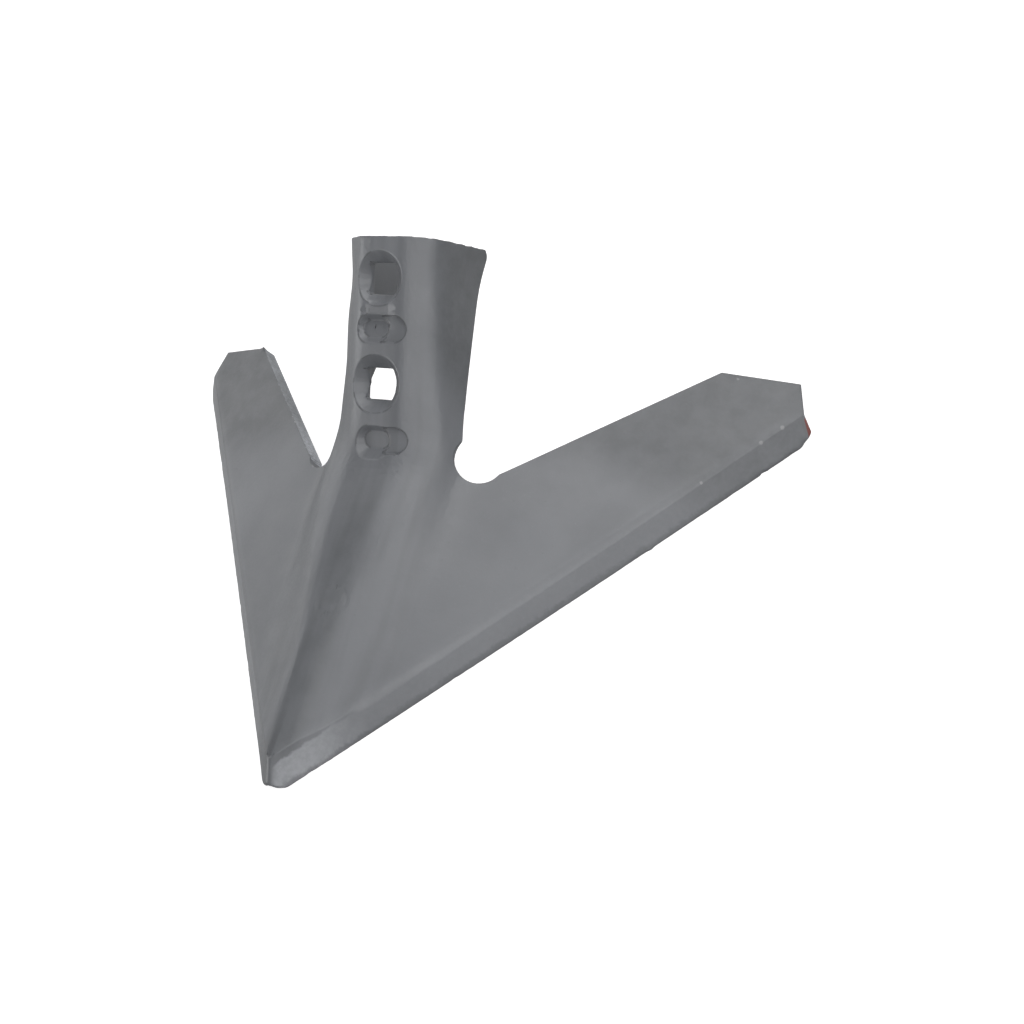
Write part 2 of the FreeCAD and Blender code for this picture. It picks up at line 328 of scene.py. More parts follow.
class Sheet:
    """Short forms for the nodes of one material."""

    def __init__(self, name: str) -> None:
        """Start a material.

        Args:
            name: The material's name.
        """
        self.material = bpy.data.materials.new(name)
        self.material.use_nodes = True
        self.tree = self.material.node_tree
        self.shader = self.tree.nodes["Principled BSDF"]

    def node(self, kind: str, **settings: object) -> bpy.types.Node:
        """Add a node.

        Args:
            kind: Type of the node, without its ShaderNode prefix.
            **settings: Properties of the node and their values.

        Returns:
            The new node.
        """
        made = self.tree.nodes.new("ShaderNode" + kind)
        for key, value in settings.items():
            setattr(made, key, value)
        return made

    def feed(self, socket: Socket, value: object) -> None:
        """Link an output to a socket, or set the socket to a plain value.

        Args:
            socket: The input socket.
            value: An output socket or a plain value.
        """
        if isinstance(value, Socket):
            self.tree.links.new(value, socket)
        else:
            socket.default_value = value

    def math(self, operation: str, *values: object, clamp: bool = False) -> Socket:
        """Add a Math node.

        Args:
            operation: Name of the operation.
            *values: Its inputs, sockets or numbers.
            clamp: Whether its result is held between 0 and 1.

        Returns:
            The output socket.
        """
        made = self.node("Math", operation=operation, use_clamp=clamp)
        for socket, value in zip(made.inputs, values):
            self.feed(socket, value)
        return made.outputs[0]

    def times(self, first: object, second: object, clamp: bool = False) -> Socket:
        """Multiply two values."""
        return self.math("MULTIPLY", first, second, clamp=clamp)

    def most(self, first: object, second: object) -> Socket:
        """Take the larger of two values."""
        return self.math("MAXIMUM", first, second)

    def size(self, value: Socket) -> Socket:
        """Take a value without its sign."""
        return self.math("ABSOLUTE", value)

    def vector_math(self, operation: str, vector: Socket, fixed: object) -> bpy.types.Node:
        """Add a Vector Math node with one fixed vector.

        Args:
            operation: Name of the operation.
            vector: Output socket of the other vector.
            fixed: The fixed vector.

        Returns:
            The new node.
        """
        made = self.node("VectorMath", operation=operation)
        self.feed(made.inputs[0], vector)
        made.inputs[1].default_value = fixed
        return made

    def along(self, vector: Socket, axis: Vector, start: Vector) -> Socket:
        """Measure coordinates along an axis, from a starting point."""
        reach = self.vector_math("DOT_PRODUCT", vector, axis).outputs["Value"]
        return self.math("SUBTRACT", reach, start.dot(axis))

    def noise(self, vector: Socket, grain: Grain) -> Socket:
        """Add a noise pattern.

        Args:
            vector: Coordinates that it reads.
            grain: The pattern.

        Returns:
            The output socket, about 0.5 on average.
        """
        made = self.node("TexNoise")
        self.feed(made.inputs["Vector"], vector)
        made.inputs["Scale"].default_value = 1.0 / grain.size
        made.inputs["Detail"].default_value = grain.layers
        made.inputs["Roughness"].default_value = grain.rough
        return made.outputs["Fac"]

    def fade(self, value: Socket, change: Fade) -> Socket:
        """Turn a value into the result of a smooth change.

        Args:
            value: Output socket of the value.
            change: The change.

        Returns:
            The output socket.
        """
        made = self.node("MapRange", interpolation_type="SMOOTHSTEP", clamp=True)
        numbers = (value, change.start, change.stop, change.first, change.last)
        for socket, number in zip(made.inputs, numbers):
            self.feed(socket, number)
        return made.outputs["Result"]

    def mix(self, share: object, first: object, second: object) -> Socket:
        """Mix two colours.

        Args:
            share: Share of the second colour.
            first: The first colour.
            second: The second colour.

        Returns:
            The output socket.
        """
        made = self.node("Mix", data_type="RGBA")
        # The node's sockets for numbers and for colours share their names, so place tells them apart.
        for place, value in zip((0, 6, 7), (share, first, second)):
            self.feed(made.inputs[place], value)
        return made.outputs[2]

    def mark(self, name: str) -> Socket:
        """Read a mask that is kept in the mesh."""
        return self.node("Attribute", attribute_name=name).outputs["Fac"]


class PaintSheet(Sheet):
    """Nodes of the sweep's paint, with the coordinates that its layers read.

    Attributes:
        palette: Greys and tints of the paint.
        wing: Axes of the wings.
        spot: Object coordinates.
        side: Distance to the right of the middle plane.
        back: Distance behind the row's origin.
        rise: Height above the floor.
    """

    def __init__(self, name: str, palette: Palette, wing: WingFrame) -> None:
        """Start the paint's material.

        Args:
            name: The material's name.
            palette: Greys and tints of the paint.
            wing: Axes of the wings.
        """
        super().__init__(name)
        self.palette = palette
        self.wing = wing
        self.spot = self.node("TexCoord").outputs["Object"]
        parts = self.node("SeparateXYZ")
        self.feed(parts.inputs[0], self.spot)
        self.side, self.back, self.rise = parts.outputs

    def blots(self, pattern: Blots) -> Socket:
        """Lay blots over the whole piece."""
        return self.fade(self.noise(self.spot, pattern.grain), pattern.spread)

    def folded(self) -> Socket:
        """Fold the left side's coordinates over on the right side.

        Returns:
            Output socket of the folded coordinates.
        """
        joined = self.node("CombineXYZ")
        for socket, part in zip(joined.inputs, (self.size(self.side), self.back, self.rise)):
            self.feed(socket, part)
        return joined.outputs[0]


@dataclass(frozen=True)
class BaseCoat:
    """Clean paint with cloudy, dusty and dark patches; thin, with a painted highlight, on the sheared
    faces.

    Attributes:
        dark: Share of the paint's grey in the darker clouds.
        light: Share of the paint's grey in the lighter clouds.
        fleck: Share of the paint's grey in the dark flecks.
        clouds: Where the lighter clouds lie.
        dust: Where the dust lies.
        flecks: Where the dark flecks lie.
        chips: How strongly the cut steel and its painted highlight show on the sheared faces.
    """

    dark: float = 0.95
    light: float = 1.06
    fleck: float = 0.72
    clouds: Blots = Blots(Grain(45 * MM, 4.0, 0.55), Fade(0.35, 0.68))
    dust: Blots = Blots(Grain(0.9 * MM, 2.0, 0.6), Fade(0.62, 0.74, 0.0, 0.20))
    flecks: Blots = Blots(Grain(2.6 * MM, 3.0, 0.7), Fade(0.66, 0.72, 0.0, 0.30))
    chips: Blots = Blots(Grain(1.6 * MM, 3.0, 0.65), Fade(0.42, 0.62, 0.95, 0.45))

    def lay(self, sheet: PaintSheet) -> Socket:
        """Lay the coat.

        Args:
            sheet: The paint's nodes.

        Returns:
            Output socket of the colour.
        """
        colours = sheet.palette
        base = sheet.mix(sheet.blots(self.clouds), colours.coat(self.dark), colours.coat(self.light))
        base = sheet.mix(sheet.blots(self.dust), base, grey(colours.worn, colours.cool))
        base = sheet.mix(sheet.blots(self.flecks), base, colours.coat(self.fleck))
        # The sheared faces' light grey is partly their own steel and partly a painted highlight.
        cut = sheet.times(sheet.mark("sheared"), sheet.blots(self.chips))
        return sheet.mix(cut, base, grey(colours.cut, colours.cool))


class Layer:
    """A layer that changes the colour laid before it."""

    def lay(self, sheet: PaintSheet, base: Socket) -> Socket:
        """Lay the layer.

        Args:
            sheet: The paint's nodes.
            base: The colour so far.

        Returns:
            Output socket of the new colour.
        """
        raise NotImplementedError


@dataclass(frozen=True)
class CrownStreaks(Layer):
    """Lighter and darker lengthwise streaks over the crown, strongest near the middle plane.

    Attributes:
        draw: Scale of the pattern's Y and Z, which stretches it lengthwise.
        streaks: Where the lighter streaks lie.
        crown: Strength with the distance from the middle plane.
        strength: Most that the streaks cover.
        dark: Share of the paint's grey in the darker streaks.
        light: Share of the paint's grey in the lighter streaks.
    """

    draw: float = 0.09
    streaks: Blots = Blots(Grain(7.0 * MM, 2.0, 0.5), Fade(0.35, 0.65))
    crown: Fade = Fade(24 * MM, 44 * MM, 1.0, 0.0)
    strength: float = 0.42
    dark: float = 0.86
    light: float = 1.14

    def lay(self, sheet: PaintSheet, base: Socket) -> Socket:
        """Streak the crown.

        Args:
            sheet: The paint's nodes.
            base: The colour so far.

        Returns:
            Output socket of the new colour.
        """
        drawn = sheet.vector_math("MULTIPLY", sheet.spot, (1.0, self.draw, self.draw)).outputs[0]
        wide = sheet.fade(sheet.noise(drawn, self.streaks.grain), self.streaks.spread)
        streaked = sheet.mix(wide, sheet.palette.coat(self.dark), sheet.palette.coat(self.light))
        share = sheet.times(sheet.fade(sheet.size(sheet.side), self.crown), self.strength)
        return sheet.mix(share, base, streaked)


@dataclass(frozen=True)
class PaintedShade(Layer):
    """Painted shade that darkens the crest, the stem's flanks and the left of the nose.

    Attributes:
        tone: Share of the paint's grey in the painted shade.
        crest_side: Middle of the dark crest, to the right of the middle plane.
        crest: Strength with the distance from the crest's middle.
        crest_end: Strength of the crest from front to back.
        flank: Strength with the distance from the middle plane.
        flank_start: Strength of the flanks from front to back.
        nose_left: Strength by the nose from left to right.
        nose_end: Strength by the nose from front to back.
        patches: How the painted shade varies.
    """

    tone: float = 0.35
    crest_side: float = 3.0 * MM
    crest: Fade = Fade(3 * MM, 12 * MM, 0.34, 0.0)
    crest_end: Fade = Fade(-10 * MM, 20 * MM, 1.0, 0.0)
    flank: Fade = Fade(20 * MM, 26 * MM)
    flank_start: Fade = Fade(42 * MM, 70 * MM, 0.0, 0.5)
    nose_left: Fade = Fade(-14 * MM, -4 * MM, 1.0, 0.0)
    nose_end: Fade = Fade(-80 * MM, 30 * MM, 0.22, 0.0)
    patches: Blots = Blots(Grain(9.0 * MM, 3.0, 0.6), Fade(0.3, 0.7, 0.8, 1.15))

    def lay(self, sheet: PaintSheet, base: Socket) -> Socket:
        """Paint the shade on its patches.

        Args:
            sheet: The paint's nodes.
            base: The colour so far.

        Returns:
            Output socket of the new colour.
        """
        off_crest = sheet.size(sheet.math("SUBTRACT", sheet.side, self.crest_side))
        crest = sheet.times(sheet.fade(off_crest, self.crest), sheet.fade(sheet.back, self.crest_end))
        beside = sheet.fade(sheet.size(sheet.side), self.flank)
        flank = sheet.times(beside, sheet.fade(sheet.back, self.flank_start))
        nose = sheet.times(sheet.fade(sheet.side, self.nose_left), sheet.fade(sheet.back, self.nose_end))
        # Painted shade on the crest, the stem's flanks and the left of the nose.
        in_shade = sheet.most(sheet.most(crest, flank), nose)
        share = sheet.times(in_shade, sheet.blots(self.patches), clamp=True)
        return sheet.mix(share, base, grey(sheet.palette.paint * self.tone, sheet.palette.shade_tint))


@dataclass(frozen=True)
class Scuff:
    """A light scuff on the right wing.

    Attributes:
        reach: Its place along the cutting edge.
        width: Its place up the wing.
        radius: Its radius.
    """

    reach: float
    width: float
    radius: float


@dataclass(frozen=True)
class BevelLightShadeAndScuffs(Layer):
    """Painted highlights and shade on the ground bevels, with a dark lip and light scuffs.

    Attributes:
        highlight: Share of the paint's grey in the painted highlights.
        dark: Share of the paint's grey on the edge's lip and in the painted shade on the nose's ridge.
        ragged: How far the borders wander.
        streaks: How the painted highlights vary.
        top: Strength across the top line of the bevel.
        right: Strength of the painted highlight from the nose's ridge to the right bevel.
        nose: Strength of the painted highlight along the right edge.
        left: Strength of the painted reflection from the left bevel to the nose's ridge.
        left_start: Strength of the painted reflection along the left edge.
        top_light: Strength of the painted light round the top line of the bevel.
        lip: Strength of the dark lip, up from the cutting edge.
        ridge: Strength of the painted shade on the nose's ridge, from left to right.
        ridge_end: Strength of that painted shade, along the edge.
        scuffs: The light scuffs.
        scuff_core: Share of a scuff's radius that is brightest.
        scuff_share: Most that a scuff covers.
        scuff_sunk: Depth of a scuff's middle in the plate.
    """

    bright: float = 2.15
    dark: float = 0.5
    ragged: Blots = Blots(Grain(5.0 * MM, 4.0, 0.65), Fade(0.3, 0.7, -0.6 * MM, 0.6 * MM))
    streaks: Blots = Blots(Grain(2.5 * MM, 3.0, 0.6), Fade(0.3, 0.7, 0.82, 1.12))
    top: Fade = Fade(-1.2 * MM, 0.6 * MM, 1.0, 0.0)
    right: Fade = Fade(0.5 * MM, 3.5 * MM)
    nose: Fade = Fade(18 * MM, 68 * MM, 0.88, 0.0)
    left: Fade = Fade(-6 * MM, -1 * MM, 1.0, 0.0)
    left_start: Fade = Fade(18 * MM, 40 * MM, 0.0, 0.42)
    top_light: Fade = Fade(-2.0 * MM, 6.0 * MM, 0.17, 0.0)
    lip: Fade = Fade(0.6 * MM, 2.4 * MM, 0.42, 0.0)
    ridge: Fade = Fade(0.2 * MM, 1.4 * MM, 1.0, 0.0)
    ridge_end: Fade = Fade(14 * MM, 30 * MM, 0.5, 0.0)
    scuffs: tuple[Scuff, ...] = (
        Scuff(283.0 * MM, 10.8 * MM, 1.3 * MM),
        Scuff(270.6 * MM, 10.3 * MM, 1.2 * MM),
        Scuff(236.5 * MM, 9.9 * MM, 0.8 * MM),
        Scuff(281.7 * MM, 42.1 * MM, 0.8 * MM),
    )
    scuff_core: float = 0.4
    scuff_share: float = 0.36
    scuff_sunk: float = 0.1 * MM

    def lay(self, sheet: PaintSheet, base: Socket) -> Socket:
        """Lay the painted highlights, the dark lip, the painted shade on the nose's ridge, and the
        scuffs.

        Args:
            sheet: The paint's nodes.
            base: The colour so far.

        Returns:
            Output socket of the new colour.
        """
        wing, palette, folded = sheet.wing, sheet.palette, sheet.folded()
        reach = sheet.along(folded, wing.axes[0], wing.origin)
        width = sheet.along(folded, wing.axes[1], wing.origin)
        wander = sheet.blots(self.ragged)
        border = sheet.math("ADD", width, wander)
        # Painted highlight on the right bevel by the nose, and painted reflection on the left bevel.
        by_nose = sheet.times(sheet.fade(sheet.side, self.right), sheet.fade(reach, self.nose))
        left = sheet.times(sheet.fade(sheet.side, self.left), sheet.fade(reach, self.left_start))
        lighter_share = sheet.times(sheet.most(by_nose, left), sheet.fade(border, self.top.moved(wing.bevel)))
        # Painted light round the top line of every bevel.
        top_light = sheet.fade(width, self.top_light.moved(wing.bevel))
        share = sheet.times(sheet.most(lighter_share, top_light), sheet.blots(self.streaks), clamp=True)
        colour = sheet.mix(share, base, grey(palette.paint * self.bright, palette.ground))
        # Painted shade on the nose's ridge.
        ridge = sheet.times(sheet.fade(sheet.side, self.ridge), sheet.fade(reach, self.ridge_end))
        dark = sheet.most(sheet.fade(border, self.lip), ridge)
        colour = sheet.mix(dark, colour, palette.coat(self.dark))
        for scuff in self.scuffs:
            colour = self.scuffed(sheet, colour, wander, scuff)
        return colour

    def scuffed(self, sheet: PaintSheet, base: Socket, wander: Socket, scuff: Scuff) -> Socket:
        """Lay one scuff.

        Args:
            sheet: The paint's nodes.
            base: The colour so far.
            wander: How far its border wanders.
            scuff: The scuff.

        Returns:
            Output socket of the new colour.
        """
        along, up, out = sheet.wing.axes
        middle = sheet.wing.origin + along * scuff.reach + up * scuff.width
        middle += out * (sheet.wing.plate - self.scuff_sunk)
        away = sheet.vector_math("DISTANCE", sheet.spot, middle).outputs["Value"]
        change = Fade(scuff.radius * self.scuff_core, scuff.radius, self.scuff_share, 0.0)
        share = sheet.fade(sheet.math("ADD", away, wander), change)
        return sheet.mix(share, base, grey(sheet.palette.steel, sheet.palette.scuffed))


@dataclass(frozen=True)
class EdgeShadeAndWear(Layer):
    """Painted shade in dark rims along the rounded edges, with the paint rubbed and chipped off in
    places.

    Attributes:
        rim: Strength of the painted shade in the rim with the edge's mask.
        rim_shade_tone: Share of the paint's grey in the painted shade of the rim.
        chips: Pattern of the chips.
        pull: How much the edge's mask adds to the pattern.
        lighter_share: Strength of the rubbed paint with that sum.
        rubbed_tone: Share of the worn grey in the rubbed paint.
        bare: Strength of the bare steel with that sum.
    """

    rim: Fade = Fade(0.1, 0.6, 0.0, 0.42)
    rim_shade_tone: float = 0.4
    chips: Grain = Grain(2.2 * MM, 3.0, 0.65)
    pull: float = 0.34
    lighter_share: Fade = Fade(0.86, 0.98, 0.0, 0.5)
    rubbed_tone: float = 1.1
    bare: Fade = Fade(0.97, 1.03, 0.0, 0.7)

    def lay(self, sheet: PaintSheet, base: Socket) -> Socket:
        """Paint shade into the rims, then rub and chip them.

        Args:
            sheet: The paint's nodes.
            base: The colour so far.

        Returns:
            Output socket of the new colour.
        """
        near, palette = sheet.mark("edge"), sheet.palette
        # Painted shade: the narrow faces of the rounded edges are darkened into dark rims.
        base = sheet.mix(sheet.fade(sheet.size(near), self.rim), base, palette.coat(self.rim_shade_tone))
        wear = sheet.math("MULTIPLY_ADD", near, self.pull, sheet.noise(sheet.spot, self.chips))
        worn = grey(palette.worn * self.rubbed_tone, palette.cool)
        lighter_share = sheet.mix(sheet.fade(wear, self.lighter_share), base, worn)
        return sheet.mix(sheet.fade(wear, self.bare), lighter_share, grey(palette.steel, palette.chipped))


@dataclass(frozen=True)
class RustyEnd(Layer):
    """Rust on the ground end face of the right wing.

    Attributes:
        lean: Lean of the end face: its reach for each metre up the wing.
        end: Strength along the edge, from the edge's end.
        low: Strength up the wing, at the foot of the face.
        high: Strength up the wing, at the top of the face.
        patches: Where the rust lies.
    """

    lean: float = 0.29
    end: Fade = Fade(-3.5 * MM, -2.9 * MM)
    low: Fade = Fade(1.2 * MM, 2.4 * MM)
    high: Fade = Fade(8.4 * MM, 9.8 * MM, 1.0, 0.0)
    patches: Blots = Blots(Grain(4.0 * MM, 3.0, 0.6), Fade(0.30, 0.46))

    def lay(self, sheet: PaintSheet, base: Socket) -> Socket:
        """Stain the end face.

        Args:
            sheet: The paint's nodes.
            base: The colour so far.

        Returns:
            Output socket of the new colour.
        """
        wing = sheet.wing
        reach = sheet.along(sheet.spot, wing.axes[0], wing.origin)
        width = sheet.along(sheet.spot, wing.axes[1], wing.origin)
        leaning = sheet.math("MULTIPLY_ADD", width, -self.lean, reach)
        band = sheet.times(sheet.fade(width, self.low), sheet.fade(width, self.high))
        face = sheet.times(sheet.fade(leaning, self.end.moved(wing.edge)), band)
        share = sheet.times(face, sheet.blots(self.patches), clamp=True)
        return sheet.mix(share, base, (*sheet.palette.rust, 1.0))


@dataclass(frozen=True)
class Gloss:
    """Roughness of the paint.

    Attributes:
        clean: Roughness of the clean paint.
        broad: Slow change of it.
        fine: Fine change of it.
        cut: What the sheared faces add to it.
    """

    clean: float = 0.36
    broad: Blots = Blots(Grain(30 * MM, 4.0, 0.6), Fade(0.3, 0.7, -0.05, 0.06))
    fine: Blots = Blots(Grain(1.2 * MM, 2.0, 0.5), Fade(0.3, 0.7, -0.03, 0.04))
    cut: float = 0.12

    def roughness(self, sheet: PaintSheet) -> Socket:
        """Build the roughness.

        Args:
            sheet: The paint's nodes.

        Returns:
            Output socket of the roughness.
        """
        change = sheet.math("ADD", sheet.blots(self.broad), sheet.blots(self.fine))
        total = sheet.math("ADD", change, self.clean)
        return sheet.math("MULTIPLY_ADD", sheet.mark("sheared"), self.cut, total)


@dataclass(frozen=True)
class Relief:
    """Orange peel of the paint over the texture of the pressed and the sheared steel.

    Attributes:
        peel: Pattern of the orange peel.
        scale: Pattern of the pressed steel.
        scale_height: Its height against the peel's.
        grit: Pattern of the finest grit.
        grit_height: Its height against the peel's.
        tear: Pattern of the sheared faces.
        tear_height: Its height against the peel's.
        strength: Strength of the whole relief.
        height: Height of the peel.
    """

    peel: Grain = Grain(1.4 * MM, 2.0, 0.5)
    scale: Grain = Grain(7.0 * MM, 3.0, 0.55)
    scale_height: float = 2.2
    grit: Grain = Grain(0.45 * MM, 1.0, 0.5)
    grit_height: float = 0.35
    tear: Grain = Grain(1.0 * MM, 4.0, 0.7)
    tear_height: float = 3.0
    strength: float = 0.35
    height: float = 0.06 * MM

    def normal(self, sheet: PaintSheet) -> Socket:
        """Build the relief.

        Args:
            sheet: The paint's nodes.

        Returns:
            Output socket of the normal.
        """
        peel, scale, grit, tear = (
            sheet.noise(sheet.spot, grain) for grain in (self.peel, self.scale, self.grit, self.tear)
        )
        total = sheet.math("MULTIPLY_ADD", grit, self.grit_height, peel)
        total = sheet.math("MULTIPLY_ADD", scale, self.scale_height, total)
        torn = sheet.times(tear, sheet.mark("sheared"))
        total = sheet.math("MULTIPLY_ADD", torn, self.tear_height, total)
        bump = sheet.node("Bump")
        bump.inputs["Strength"].default_value = self.strength
        bump.inputs["Distance"].default_value = self.height
        sheet.feed(bump.inputs["Height"], total)
        return bump.outputs["Normal"]


@dataclass(frozen=True)
class SatinPaint:
    """Grey satin paint sprayed over pressed, sheared and ground steel.

    Attributes:
        name: Name of the material.
        palette: Its greys and tints.
        coat: The paint itself.
        layers: What lies on it, painted light and shade among them, in order.
        gloss: Its roughness.
        relief: Its relief.
        specular: Its specular level.
    """

    name: str = "satin_paint"
    palette: Palette = Palette()
    coat: BaseCoat = BaseCoat()
    layers: tuple[Layer, ...] = (CrownStreaks(), PaintedShade(), BevelLightShadeAndScuffs(), EdgeShadeAndWear(), RustyEnd())
    gloss: Gloss = Gloss()
    relief: Relief = Relief()
    specular: float = 0.72

    def material(self, wing: WingFrame) -> bpy.types.Material:
        """Build the material.

        Args:
            wing: Axes of the wings, for marks that lie on them.

        Returns:
            The new material.
        """
        sheet = PaintSheet(self.name, self.palette, wing)
        colour = self.coat.lay(sheet)
        for layer in self.layers:
            colour = layer.lay(sheet, colour)
        sheet.feed(sheet.shader.inputs["Base Color"], colour)
        sheet.feed(sheet.shader.inputs["Roughness"], self.gloss.roughness(sheet))
        sheet.shader.inputs["Specular IOR Level"].default_value = self.specular
        sheet.feed(sheet.shader.inputs["Normal"], self.relief.normal(sheet))
        return sheet.material


class Mark:
    """A change of the plate's shape, left by its making or its handling."""

    def is_fine(self, spot: Spot, axes: SweepAxes) -> bool:
        """Tell whether the mark needs a fine mesh at a spot."""
        return False

    def move(self, spot: Spot, axes: SweepAxes) -> Vector:
        """Work out how far the mark moves a spot.

        Args:
            spot: The spot before any change.
            axes: Axes of the sweep.

        Returns:
            The way that the spot moves, in the row's frame.
        """
        raise NotImplementedError


@dataclass(frozen=True)
class PressWaves(Mark):
    """Slow waves through the whole plate, the same on both of its faces.

    Attributes:
        height: Height of the long waves.
        long: Length of the long waves.
        short: Length of the short waves.
        share: Height of the short waves against the long ones.
    """

    height: float = 0.22 * MM
    long: float = 75 * MM
    short: float = 24 * MM
    share: float = 0.3

    def move(self, spot: Spot, axes: SweepAxes) -> Vector:
        """Wave the plate at a spot."""
        slow = noise.noise_vector(spot.point / self.long) * self.height
        return slow + noise.noise_vector(spot.point / self.short) * self.height * self.share


@dataclass(frozen=True)
class EdgeBow(Mark):
    """Slight bow of the cutting edges: the right one out, the left one in.

    Attributes:
        bow: How far the middle of an edge bows.
        fade: Width of the wing that bows with it.
    """

    bow: float = 0.7 * MM
    fade: float = 45 * MM

    def move(self, spot: Spot, axes: SweepAxes) -> Vector:
        """Bow the edge.

        Args:
            spot: The spot before any change.
            axes: Axes of the sweep.

        Returns:
            The way that the spot moves.
        """
        along = math.sin(math.pi * min(max(spot.reach / axes.wing.edge, 0.0), 1.0))
        share = along * smooth(1.0 - spot.width / self.fade)
        return axes.wing.turn(Vector((0.0, -self.bow * share * spot.side.value, 0.0)), spot.side)


@dataclass(frozen=True)
class Nick:
    """A chip out of a cutting edge, or with a negative depth a burr on it.

    Attributes:
        side: The wing that it is on.
        reach: Its place along the cutting edge.
        width: Its width along the edge.
        depth: How far it goes into the edge.
    """

    side: Side
    reach: float
    width: float
    depth: float


@dataclass(frozen=True)
class NickedEdges(Mark):
    """Chips, burrs and fine roughness of the cutting edges.

    Attributes:
        nicks: The chips and burrs.
        fine: Width of the edge with a fine mesh.
        full: Width of the edge that moves fully.
        fade: Width over which the movement fades.
        length: Length of the roughness along the edge.
        tall: Height of the roughness.
        apart: What parts the two wings' roughness.
        rough: Depth of the roughness.
        pit: Depth of the deeper pits.
        pit_from: Roughness at which pits start.
        lean: How far a chip goes down for its depth.
    """

    nicks: tuple[Nick, ...] = (
        Nick(Side.RIGHT, 96.0 * MM, 3.0 * MM, 0.3 * MM),
        Nick(Side.RIGHT, 201.0 * MM, 3.0 * MM, -0.45 * MM),
        Nick(Side.RIGHT, 248.0 * MM, 4.0 * MM, 0.3 * MM),
        Nick(Side.RIGHT, 264.6 * MM, 4.0 * MM, 0.5 * MM),
        Nick(Side.RIGHT, 280.5 * MM, 3.0 * MM, 0.35 * MM),
        Nick(Side.RIGHT, 290.5 * MM, 10.0 * MM, 1.0 * MM),
        Nick(Side.LEFT, 120.0 * MM, 3.0 * MM, 0.3 * MM),
        Nick(Side.LEFT, 232.0 * MM, 4.0 * MM, 0.4 * MM),
    )
    fine: float = 2.0 * MM
    full: float = 0.2 * MM
    fade: float = 2.2 * MM
    length: float = 2.6 * MM
    tall: float = 1.5 * MM
    apart: float = 7.0
    rough: float = 0.14 * MM
    pit: float = 0.4 * MM
    pit_from: float = 0.45
    lean: float = 0.3

    def is_fine(self, spot: Spot, axes: SweepAxes) -> bool:
        """Ask for a fine mesh along the edges."""
        return spot.width < self.fine

    def move(self, spot: Spot, axes: SweepAxes) -> Vector:
        """Chip and burr the edge.

        Args:
            spot: The spot before any change.
            axes: Axes of the sweep.

        Returns:
            The way that the spot moves.
        """
        near = smooth(1.0 - max(spot.width - self.full, 0.0) / self.fade)
        if near <= 0.0:
            return STILL
        place = Vector((spot.reach / self.length, self.apart * spot.side.value, spot.rise / self.tall))
        grain = noise.noise(place)
        depth = self.rough * grain + self.pit * max(grain - self.pit_from, 0.0)
        for nick in self.nicks:
            if nick.side is spot.side:
                depth += nick.depth * hump(abs(spot.reach - nick.reach), nick.width / 2)
        return axes.wing.turn(Vector((0.0, depth * near, -self.lean * depth * near)), spot.side)


@dataclass(frozen=True)
class FrayedRim(Mark):
    """Frayed and torn rim at the top of the stem, left by the shear.

    Attributes:
        tears: Offset and depth of the torn places on the stem.
        tear_radius: Radius of a torn place.
        tear_drop: How far a torn place drops.
        fine: Depth of the rim with a fine mesh.
        reach: Depth of the rim that moves.
        fade: Depth over which the movement fades.
        small: Size of the fine fraying.
        small_layer: Layer of the noise that the fine fraying reads.
        small_drop: Height of the fine fraying.
        large: Size of the broad fraying.
        large_layer: Layer of the noise that the broad fraying reads.
        large_drop: Height of the broad fraying.
        drop: How far the whole rim drops.
        back: How far the fine fraying goes back.
    """

    tears: tuple[tuple[float, float], ...] = ((25.6 * MM, 22.0 * MM), (26.0 * MM, 31.6 * MM))
    tear_radius: float = 2.6 * MM
    tear_drop: float = 0.9 * MM
    fine: float = 6.0 * MM
    reach: float = 3.6 * MM
    fade: float = 1.6 * MM
    small: float = 2.4 * MM
    small_layer: float = 3.0
    small_drop: float = 0.28 * MM
    large: float = 9.0 * MM
    large_layer: float = 11.0
    large_drop: float = 0.22 * MM
    drop: float = 0.2 * MM
    back: float = 0.15 * MM

    def is_fine(self, spot: Spot, axes: SweepAxes) -> bool:
        """Ask for a fine mesh along the rim."""
        return spot.height > axes.stem.top - self.fine

    def move(self, spot: Spot, axes: SweepAxes) -> Vector:
        """Fray the rim.

        Args:
            spot: The spot before any change.
            axes: Axes of the sweep.

        Returns:
            The way that the spot moves.
        """
        near = smooth((spot.height - axes.stem.top + self.reach) / self.fade)
        if near <= 0.0:
            return STILL
        up, back = axes.stem.axes
        small = noise.noise(Vector((spot.across / self.small, spot.depth / self.small, self.small_layer)))
        large = noise.noise(Vector((spot.across / self.large, spot.depth / self.large, self.large_layer)))
        away = [math.hypot(spot.across - across, spot.depth - depth) for across, depth in self.tears]
        torn = sum(hump(distance, self.tear_radius) for distance in away)
        lift = self.small_drop * small + self.large_drop * large - self.drop - self.tear_drop * torn
        return up * (near * lift) + back * (near * self.back * small)


@dataclass(frozen=True)
class HeelBurr(Mark):
    """Small burr on the heel of the left wing's tip.

    Attributes:
        middle: Its middle in the row's frame.
        radius: Its radius.
        fine: Radius of the fine mesh round it.
        raised: How far its middle is raised.
    """

    middle: tuple[float, float, float] = (-131.0 * MM, 115.5 * MM, 28.9 * MM)
    radius: float = 3.4 * MM
    fine: float = 6.0 * MM
    raised: tuple[float, float, float] = (0.0, 0.35 * MM, 0.9 * MM)

    def is_fine(self, spot: Spot, axes: SweepAxes) -> bool:
        """Ask for a fine mesh round the burr."""
        return (spot.point - Vector(self.middle)).length < self.fine

    def move(self, spot: Spot, axes: SweepAxes) -> Vector:
        """Raise the burr at a spot."""
        return Vector(self.raised) * hump((spot.point - Vector(self.middle)).length, self.radius)


